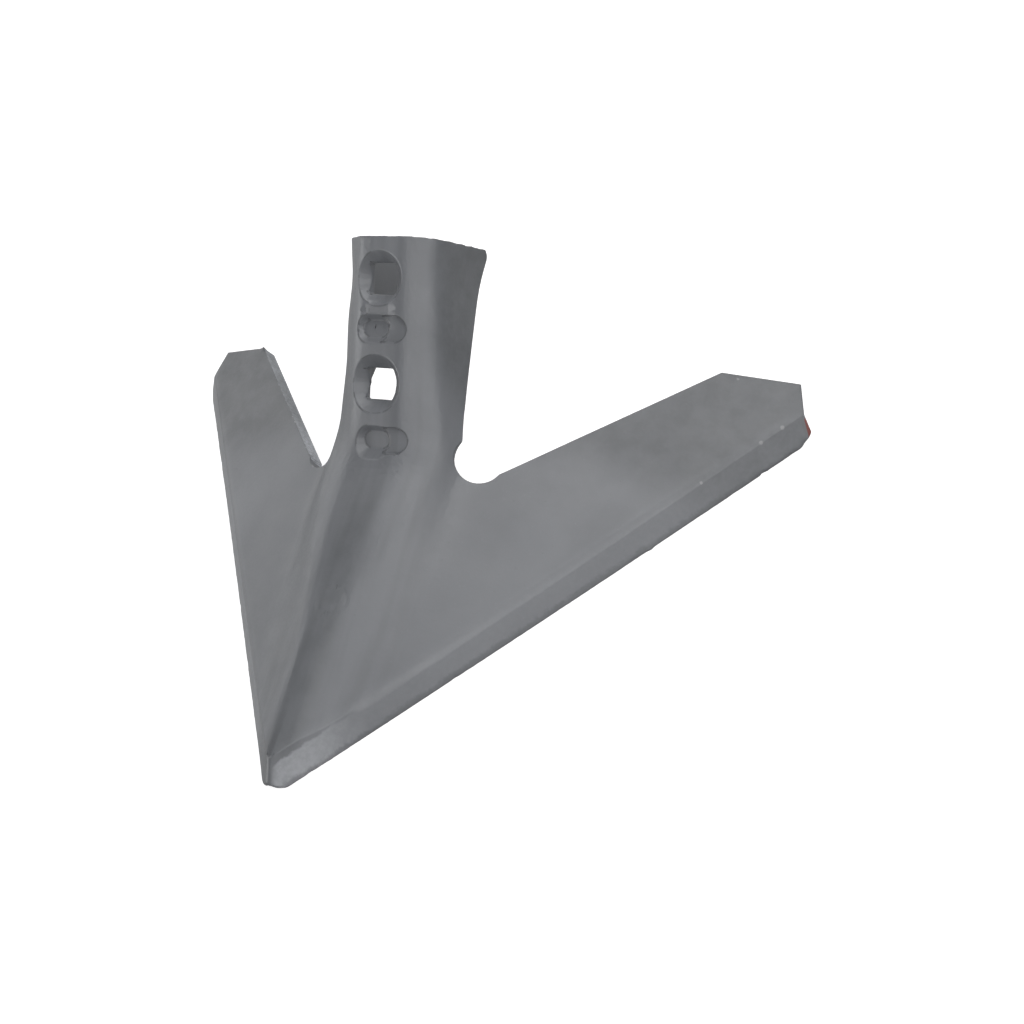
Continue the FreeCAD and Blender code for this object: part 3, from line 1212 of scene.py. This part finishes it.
@dataclass(frozen=True)
class RoundMark(Mark):
    """Faint round mark pressed into the crown.

    Attributes:
        middle: Its middle in the row's frame.
        radius: Radius of its ring.
        line: Half the width of the ring's line.
        fine: Radius of the fine mesh round it.
        pressed: How far the ring is pressed in.
    """

    middle: tuple[float, float, float] = (4.1 * MM, -47.9 * MM, 35.1 * MM)
    radius: float = 6.8 * MM
    line: float = 1.4 * MM
    fine: float = 9.5 * MM
    pressed: tuple[float, float, float] = (0.0, 0.05 * MM, -0.16 * MM)

    def is_fine(self, spot: Spot, axes: SweepAxes) -> bool:
        """Ask for a fine mesh round the mark."""
        return (spot.point - Vector(self.middle)).length < self.fine

    def move(self, spot: Spot, axes: SweepAxes) -> Vector:
        """Press the ring in at a spot."""
        away = (spot.point - Vector(self.middle)).length
        return Vector(self.pressed) * hump(abs(away - self.radius), self.line)


@dataclass(frozen=True)
class Ledge(Mark):
    """Narrow ledge, sunk in two steps between the upper bolt hole and the dimple below it.

    Attributes:
        plate: Depth behind the stem's front that sinks with it.
        sides: Its left and right limit.
        side_fade: Width over which it fades at its sides.
        bottom: Its lower limit.
        tops: Upper limits of its two steps.
        sinks: Depths of its two steps.
        end_fade: Height over which it fades at its ends.
        fine_sides: Left and right limit of the fine mesh.
        fine_ends: Lower and upper limit of the fine mesh.
        fine_depth: Depth of the fine mesh.
    """

    plate: float = 5.0 * MM
    sides: tuple[float, float] = (-7.9 * MM, 4.0 * MM)
    side_fade: float = 2.0 * MM
    bottom: float = 27.0 * MM
    tops: tuple[float, float] = (33.2 * MM, 36.5 * MM)
    sinks: tuple[float, float] = (0.6 * MM, 0.3 * MM)
    end_fade: float = 1.2 * MM
    fine_sides: tuple[float, float] = (-11.0 * MM, 8.0 * MM)
    fine_ends: tuple[float, float] = (29.0 * MM, 38.5 * MM)
    fine_depth: float = 4.0 * MM

    def is_fine(self, spot: Spot, axes: SweepAxes) -> bool:
        """Ask for a fine mesh on the ledge."""
        flat = self.fine_sides[0] < spot.across < self.fine_sides[1] and spot.depth < self.fine_depth
        return flat and self.fine_ends[0] < spot.height < self.fine_ends[1]

    def move(self, spot: Spot, axes: SweepAxes) -> Vector:
        """Sink the ledge.

        Args:
            spot: The spot before any change.
            axes: Axes of the sweep.

        Returns:
            The way that the spot moves.
        """
        if spot.depth > self.plate:
            return STILL
        flat = inside(spot.across, *self.sides, self.side_fade)
        sunk = sum(
            flat * inside(spot.height, self.bottom, top, self.end_fade) * sink
            for top, sink in zip(self.tops, self.sinks)
        )
        return axes.stem.axes[1] * sunk


@dataclass(frozen=True)
class WearAndShadeMasks:
    """Masks of the sheared faces and rounded edges, kept in the mesh for wear and painted light and
    shade.

    Attributes:
        upright: Most that a sheared face's normal points out of the wing.
        behind: Least depth of a sheared face behind the stem's front.
        beside: Least distance of a sheared face from the middle plane.
        off_edge: Least distance of a sheared face from the cutting edge.
        crease: Least angle at a marked edge, in degrees.
        strip: Most width of a marked face.
        pressed: Mark of an edge that was pressed, round a hole or a dimple.
        pressed_depth: Most depth of a pressed edge behind the stem's front.
        pressed_side: Most distance of a pressed edge from the middle plane.
        pressed_top: Least distance of a pressed edge from the stem's top.
        ground_width: Distance from the top line of the bevel that is left unmarked.
        ground_rise: Least height of that stretch above the wing's underside.
        ground_end: Distance of that stretch from the end of the edge.
    """

    upright: float = 0.4
    behind: float = 26 * MM
    beside: float = 29 * MM
    off_edge: float = 1.0 * MM
    crease: float = 14.0
    strip: float = 0.55 * MM
    pressed: float = -0.6
    pressed_depth: float = 13 * MM
    pressed_side: float = 18 * MM
    pressed_top: float = 3 * MM
    ground_width: float = 5 * MM
    ground_rise: float = 3 * MM
    ground_end: float = 9 * MM

    def keep(self, mesh: bpy.types.Mesh, axes: SweepAxes) -> None:
        """Keep both masks in a mesh, with one value for each face.

        Args:
            mesh: The mesh.
            axes: Axes of the sweep.
        """
        sheared = mesh.attributes.new("sheared", "FLOAT", "FACE")
        sheared.data.foreach_set("value", [self.sheared(face, axes) for face in mesh.polygons])
        corners = self.corners(mesh, axes)
        edge = mesh.attributes.new("edge", "FLOAT", "FACE")
        edge.data.foreach_set("value", [self.edge(mesh, face, corners) for face in mesh.polygons])

    def sheared(self, face: bpy.types.MeshPolygon, axes: SweepAxes) -> float:
        """Find out whether the shear left a face on a wing.

        Args:
            face: The face.
            axes: Axes of the sweep.

        Returns:
            1 on a sheared face, 0 elsewhere.
        """
        spot = axes.spot(face.center)
        out = axes.wing.turn(Vector((0.0, 0.0, 1.0)), spot.side)
        clear = spot.depth > self.behind and abs(spot.across) > self.beside and spot.width > self.off_edge
        return 1.0 if clear and abs(face.normal.dot(out)) < self.upright else 0.0

    def corners(self, mesh: bpy.types.Mesh, axes: SweepAxes) -> list[float]:
        """Mark the vertices where faces meet at an angle.

        Args:
            mesh: The mesh to read.
            axes: Axes of the sweep.

        Returns:
            One value for each vertex: 1 on an edge, less on a pressed one, 0 elsewhere.
        """
        normals: list[list[Vector]] = [[] for _ in mesh.vertices]
        for face in mesh.polygons:
            for index in face.vertices:
                normals[index].append(face.normal)
        values = []
        for vertex, around in zip(mesh.vertices, normals):
            flattest = min((normal.dot(around[0]) for normal in around), default=1.0)
            sharp = flattest < math.cos(math.radians(self.crease))
            spot = axes.spot(vertex.co)
            marked = sharp and not self.is_ground(spot, axes)
            values.append(0.0 if not marked else self.pressed if self.is_pressed(spot, axes) else 1.0)
        return values

    def is_pressed(self, spot: Spot, axes: SweepAxes) -> bool:
        """Tell whether a spot lies by the holes and dimples of the stem."""
        narrow = spot.depth < self.pressed_depth and abs(spot.across) < self.pressed_side
        return narrow and spot.height < axes.stem.top - self.pressed_top

    def is_ground(self, spot: Spot, axes: SweepAxes) -> bool:
        """Tell whether a spot lies by the soft top line of a ground bevel."""
        on_top = abs(spot.width - axes.wing.bevel) < self.ground_width and spot.rise > self.ground_rise
        return on_top and spot.reach < axes.wing.edge - self.ground_end

    def edge(self, mesh: bpy.types.Mesh, face: bpy.types.MeshPolygon, corners: list[float]) -> float:
        """Mark a face, if it is one of the narrow faces of a rounded edge.

        Args:
            mesh: The mesh.
            face: The face to mark.
            corners: Marks of the mesh's vertices.

        Returns:
            The mark, or 0 on a wide face.
        """
        ends = [mesh.vertices[index].co for index in face.vertices]
        longest = max((a - b).length for a in ends for b in ends)
        marks = [corners[index] for index in face.vertices]
        if face.area > longest * self.strip or not all(marks):
            return 0.0
        return sum(marks) / len(marks)


def select_none(mesh: bpy.types.Mesh) -> None:
    """Clear the selection of a mesh, in object mode."""
    for part in (mesh.polygons, mesh.edges, mesh.vertices):
        part.foreach_set("select", [False] * len(part))


@dataclass
class PressedSweep:
    """The sweep in its paint, with what pressing, shearing, grinding and handling left on it.

    Attributes:
        node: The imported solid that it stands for.
        name: Name of the piece.
        axes: Axes of the sweep.
        paint: Finish of the whole piece.
        marks: What making and handling left in its shape.
        masks: Masks of its sheared faces and edges.
        weld: Distance at which the solid's loose points are joined.
        flat: Most angle between triangles that are made one face, in degrees.
        crease: Least angle of a sharp edge, in degrees.
        rounding: Width of the rounding along each sharp edge.
        rounding_steps: Number of faces across that rounding.
        rounding_weld: Distance at which points of the rounding are joined.
        soft_rounding: Width of the wide rounding at the top of the ground bevels.
        soft_steps: Number of faces across the wide rounding.
        soft_from: Reach at which the wide rounding starts.
        ground_tilt: Least and most that a ground face's normal points out of the wing.
        top_tilt: Least that a top face's normal points out of the wing.
        cell: Spacing of the cuts that give the mesh even faces.
        fine_side: Side of the smallest face that is still divided.
        fine_passes: How often the fine places are divided.
        hole_depth: Depth of the fine mesh round the bolt holes.
        hole_side: Half the width of the fine mesh round the bolt holes.
        hole_foot: How far that mesh reaches below the lower bolt hole.
        seed: Seed of the noise that shapes the waves.
        smooth_angle: Most angle that is shaded smooth, in degrees.
        even: Weight of the wide faces in the shading.
    """

    node: str = "cultivator_sweep"
    name: str = "pressed_sweep"
    axes: SweepAxes = field(default_factory=SweepAxes)
    paint: SatinPaint = field(default_factory=SatinPaint)
    marks: tuple[Mark, ...] = (
        PressWaves(), EdgeBow(), NickedEdges(), FrayedRim(), HeelBurr(), RoundMark(), Ledge(),
    )
    masks: WearAndShadeMasks = field(default_factory=WearAndShadeMasks)
    weld: float = 0.002 * MM
    flat: float = 0.4
    crease: float = 24.0
    rounding: float = 0.5 * MM
    rounding_steps: int = 2
    rounding_weld: float = 0.004 * MM
    soft_rounding: float = 3.2 * MM
    soft_steps: int = 5
    soft_from: float = 62.0 * MM
    ground_tilt: tuple[float, float] = (0.78, 0.9)
    top_tilt: float = 0.985
    cell: float = 4.0 * MM
    fine_side: float = 0.8 * MM
    fine_passes: int = 2
    hole_depth: float = 9.0 * MM
    hole_side: float = 15.0 * MM
    hole_foot: float = 45.0 * MM
    seed: int = 7
    smooth_angle: float = 35.0
    even: int = 80

    def build(self) -> bpy.types.Object:
        """Build and dress the sweep.

        Returns:
            The finished piece.
        """
        piece = self.copy_solid()
        self.soften_bevels(piece)
        self.round_edges()
        self.cut_grid()
        self.refine(piece)
        self.shape(piece)
        self.masks.keep(piece.data, self.axes)
        self.shade(piece)
        piece.data.materials.clear()
        piece.data.materials.append(self.paint.material(self.axes.wing))
        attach(piece, "root")
        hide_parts(self.node)
        return piece

    def copy_solid(self) -> bpy.types.Object:
        """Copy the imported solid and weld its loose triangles.

        Returns:
            The new piece, active and alone in the selection.
        """
        bpy.ops.object.select_all(action="DESELECT")
        piece = bpy.data.objects.new(self.name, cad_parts[self.node].data.copy())
        bpy.context.scene.collection.objects.link(piece)
        bpy.context.view_layer.objects.active = piece
        piece.select_set(True)
        bpy.ops.object.mode_set(mode="EDIT")
        bpy.ops.mesh.select_all(action="SELECT")
        bpy.ops.mesh.remove_doubles(threshold=self.weld)
        bpy.ops.mesh.dissolve_degenerate(threshold=self.weld)
        bpy.ops.mesh.select_all(action="SELECT")
        bpy.ops.mesh.dissolve_limited(angle_limit=math.radians(self.flat))
        bpy.ops.object.mode_set(mode="OBJECT")
        return piece

    def soften_bevels(self, piece: bpy.types.Object) -> None:
        """Round the top of each ground bevel widely, away from the nose.

        Args:
            piece: The piece, active.
        """
        mesh = piece.data
        select_none(mesh)
        out = self.axes.wing.axes[2]
        tilts: dict[tuple[int, int], list[float]] = {}
        for face in mesh.polygons:
            side = Side.of(face.center).value
            tilt = Vector((face.normal.x * side, face.normal.y, face.normal.z)).dot(out)
            for key in face.edge_keys:
                tilts.setdefault(key, []).append(tilt)
        for edge in mesh.edges:
            middle = (mesh.vertices[edge.vertices[0]].co + mesh.vertices[edge.vertices[1]].co) / 2
            low, high = min(tilts[edge.key]), max(tilts[edge.key])
            on_line = self.ground_tilt[0] < low < self.ground_tilt[1] and high > self.top_tilt
            edge.select = on_line and self.axes.wing.place(middle).x > self.soft_from
        bpy.ops.object.mode_set(mode="EDIT")
        bpy.ops.mesh.select_mode(type="EDGE")
        bpy.ops.mesh.bevel(
            offset=self.soft_rounding, segments=self.soft_steps, affect="EDGES", clamp_overlap=False
        )
        bpy.ops.object.mode_set(mode="OBJECT")

    def round_edges(self) -> None:
        """Round every sharp edge a little, as paint and handling leave it."""
        bpy.ops.object.mode_set(mode="EDIT")
        bpy.ops.mesh.select_mode(type="EDGE")
        bpy.ops.mesh.select_all(action="DESELECT")
        bpy.ops.mesh.edges_select_sharp(sharpness=math.radians(self.crease))
        bpy.ops.mesh.bevel(
            offset=self.rounding, segments=self.rounding_steps, affect="EDGES", clamp_overlap=False
        )
        bpy.ops.mesh.select_all(action="SELECT")
        bpy.ops.mesh.remove_doubles(threshold=self.rounding_weld)
        bpy.ops.object.mode_set(mode="OBJECT")

    def cut_grid(self) -> None:
        """Cut the mesh on an even grid, so that its wide flat faces can take a shape."""
        bpy.ops.object.mode_set(mode="EDIT")
        low, high = CAD_BOX
        for axis in (0, 1):
            normal = Vector((axis == 0, axis == 1, 0))
            count = int((high[axis] - low[axis]) / self.cell)
            step = (high[axis] - low[axis]) / count
            for row in range(1, count):
                bpy.ops.mesh.select_all(action="SELECT")
                place = normal * (low[axis] + row * step)
                bpy.ops.mesh.bisect(plane_co=place, plane_no=normal)
        bpy.ops.object.mode_set(mode="OBJECT")

    def refine(self, piece: bpy.types.Object) -> None:
        """Divide the mesh finely where a small mark, burr or nick is to be shaped.

        Args:
            piece: The piece, active.
        """
        for _ in range(self.fine_passes):
            mesh = piece.data
            select_none(mesh)
            for face in mesh.polygons:
                face.select = self.is_fine(face.center) and face.area > self.fine_side ** 2
            bpy.ops.object.mode_set(mode="EDIT")
            bpy.ops.mesh.select_mode(type="FACE")
            bpy.ops.mesh.subdivide(number_cuts=1)
            bpy.ops.object.mode_set(mode="OBJECT")

    def is_fine(self, point: Vector) -> bool:
        """Tell whether the mesh is to be fine at a point.

        Args:
            point: A point in the row's frame.

        Returns:
            Whether it lies by a bolt hole or on a mark that needs a fine mesh.
        """
        spot = self.axes.spot(point)
        on_stem = -self.hole_foot < spot.height < self.axes.stem.top
        by_hole = on_stem and spot.depth < self.hole_depth and abs(spot.across) < self.hole_side
        return by_hole or any(mark.is_fine(spot, self.axes) for mark in self.marks)

    def shape(self, piece: bpy.types.Object) -> None:
        """Move the mesh to the waves, wear and burrs of the real plate.

        Args:
            piece: The piece to shape.
        """
        low, high = CAD_BOX
        noise.seed_set(self.seed)
        for vertex in piece.data.vertices:
            spot = self.axes.spot(vertex.co.copy())
            moved = sum((mark.move(spot, self.axes) for mark in self.marks), spot.point)
            vertex.co = Vector([min(max(moved[k], low[k]), high[k]) for k in range(3)])
        piece.data.update()

    def shade(self, piece: bpy.types.Object) -> None:
        """Shade the piece smooth, apart from its sharp edges.

        Args:
            piece: The piece to shade.
        """
        bpy.ops.object.shade_smooth_by_angle(angle=math.radians(self.smooth_angle))
        weighted = piece.modifiers.new("even_normals", "WEIGHTED_NORMAL")
        weighted.keep_sharp = True
        weighted.weight = self.even
        bpy.ops.object.modifier_apply(modifier=weighted.name)


@dataclass(frozen=True)
class Softbox:
    """A soft square lamp that looks at the sweep.

    Attributes:
        name: Its name.
        bearing: Bearing from the front (-Y) towards the right (+X), in degrees.
        height: Angle above the floor, in degrees.
        power: Power in watts.
        size: Length of its sides.
        away: Distance from the sweep.
    """

    name: str
    bearing: float
    height: float
    power: float
    size: float = 1.1
    away: float = 1.6

    def hang(self, target: Vector) -> None:
        """Hang the lamp.

        Args:
            target: Point that it looks at.
        """
        turn, rise = math.radians(self.bearing), math.radians(self.height)
        level = math.cos(rise)
        toward = Vector((math.sin(turn) * level, -math.cos(turn) * level, math.sin(rise)))
        data = bpy.data.lights.new(self.name, "AREA")
        data.shape = "SQUARE"
        data.size = self.size
        data.energy = self.power
        lamp = bpy.data.objects.new(self.name, data)
        bpy.context.scene.collection.objects.link(lamp)
        lamp.location = target + toward * self.away
        lamp.rotation_euler = toward.to_track_quat("Z", "Y").to_euler()


@dataclass
class Studio:
    """Pale floor, soft lamps and the camera.

    Attributes:
        azimuth: Camera's bearing round the sweep, in degrees.
        elevation: Camera's height above the horizon, in degrees.
        roll: Turn of the picture about the view axis, in degrees.
        place: Camera's place from the nose of the sweep.
        lens: Focal length, in millimetres.
        sensor: Width of the camera's sensor, in millimetres.
        clip: Least and most distance that the camera sees.
        floor_side: Length of the floor's sides.
        floor_grey: Linear grey of the floor.
        floor_glow: Light that the camera alone sees on the floor, to show it nearly white.
        floor_rough: Roughness of the floor.
        ambient: Light of the world on the sweep.
        lamps: The soft lamps.
    """

    azimuth: float = 39.197
    elevation: float = 42.285
    roll: float = 22.857
    place: tuple[float, float, float] = (0.39790, -0.26601, 0.51050)
    lens: float = 56.25
    sensor: float = 36.0
    clip: tuple[float, float] = (0.01, 20.0)
    floor_side: float = 12.0
    floor_grey: float = 0.52
    floor_glow: float = 0.85
    floor_rough: float = 0.9
    ambient: float = 0.03
    lamps: tuple[Softbox, ...] = (
        Softbox("back_left_low", -150.0, 10.0, 8.2),
        Softbox("left_low", -105.0, 10.0, 3.6),
        Softbox("front_left_low", -60.0, 10.0, 10.3),
        Softbox("front_low", -15.0, 10.0, 1.6),
        Softbox("right_low", 75.0, 10.0, 2.8),
        Softbox("front_right", 30.0, 38.0, 4.5),
        Softbox("right", 75.0, 38.0, 6.2),
        Softbox("back_right", 120.0, 38.0, 1.2),
        Softbox("high_back_left", -135.0, 66.0, 3.3),
        Softbox("high_back_right", 135.0, 66.0, 8.2),
        Softbox("back", 160.0, 20.0, 3.2),
    )

    def camera(self) -> None:
        """Place the camera at the photograph's viewing angle."""
        turn, rise, roll = (math.radians(angle) for angle in (self.azimuth, self.elevation, self.roll))
        level = math.cos(rise)
        forward = Vector((-math.sin(turn) * level, math.cos(turn) * level, -math.sin(rise)))
        right = Vector((math.cos(turn), math.sin(turn), 0.0))
        down = forward.cross(right)
        across = right * math.cos(roll) + down * math.sin(roll)
        fall = down * math.cos(roll) - right * math.sin(roll)
        data = bpy.data.cameras.new("camera")
        data.lens = self.lens
        data.sensor_width = self.sensor
        data.clip_start, data.clip_end = self.clip
        camera = bpy.data.objects.new("camera", data)
        bpy.context.scene.collection.objects.link(camera)
        axes = Matrix((across, -fall, -forward)).transposed().to_4x4()
        nose = Vector((0.0, CAD_BOX[0].y, 0.0))
        camera.matrix_world = Matrix.Translation(nose + Vector(self.place)) @ axes
        bpy.context.scene.camera = camera

    def floor(self) -> None:
        """Lay the pale floor under the sweep."""
        bpy.ops.object.select_all(action="DESELECT")
        bpy.ops.mesh.primitive_plane_add(size=self.floor_side, location=(0.0, 0.0, 0.0))
        floor = bpy.context.active_object
        floor.name = "floor"
        sheet = Sheet("pale_floor")
        sheet.shader.inputs["Base Color"].default_value = (*[self.floor_grey] * 3, 1.0)
        sheet.shader.inputs["Roughness"].default_value = self.floor_rough
        sheet.shader.inputs["Specular IOR Level"].default_value = 0.0
        seen = sheet.node("LightPath").outputs["Is Camera Ray"]
        sheet.shader.inputs["Emission Color"].default_value = WHITE
        sheet.feed(sheet.shader.inputs["Emission Strength"], sheet.times(seen, self.floor_glow))
        floor.data.materials.append(sheet.material)

    def world(self) -> None:
        """Show the world white, and let it light the sweep softly."""
        world = bpy.data.worlds.new("studio")
        bpy.context.scene.world = world
        world.use_nodes = True
        tree = world.node_tree
        back = tree.nodes["Background"]
        back.inputs["Color"].default_value = WHITE
        path = tree.nodes.new("ShaderNodeLightPath")
        spread = tree.nodes.new("ShaderNodeMapRange")
        spread.inputs["To Min"].default_value = self.ambient
        spread.inputs["To Max"].default_value = 1.0
        tree.links.new(path.outputs["Is Camera Ray"], spread.inputs["Value"])
        tree.links.new(spread.outputs["Result"], back.inputs["Strength"])

    def build(self) -> None:
        """Build the whole studio."""
        self.floor()
        self.world()
        middle = (CAD_BOX[0] + CAD_BOX[1]) / 2
        for lamp in self.lamps:
            lamp.hang(middle)
        self.camera()
        bpy.context.scene.view_settings.view_transform = "Standard"


def main() -> None:
    """Build the sweep and its studio."""
    logging.basicConfig(level=logging.INFO, format="%(name)s: %(message)s")
    piece = PressedSweep().build()
    LOG.info("built %s with %d faces", piece.name, len(piece.data.polygons))
    studio = Studio()
    studio.build()
    LOG.info("lit with %d lamps", len(studio.lamps))


if __name__ == "__main__":
    main()
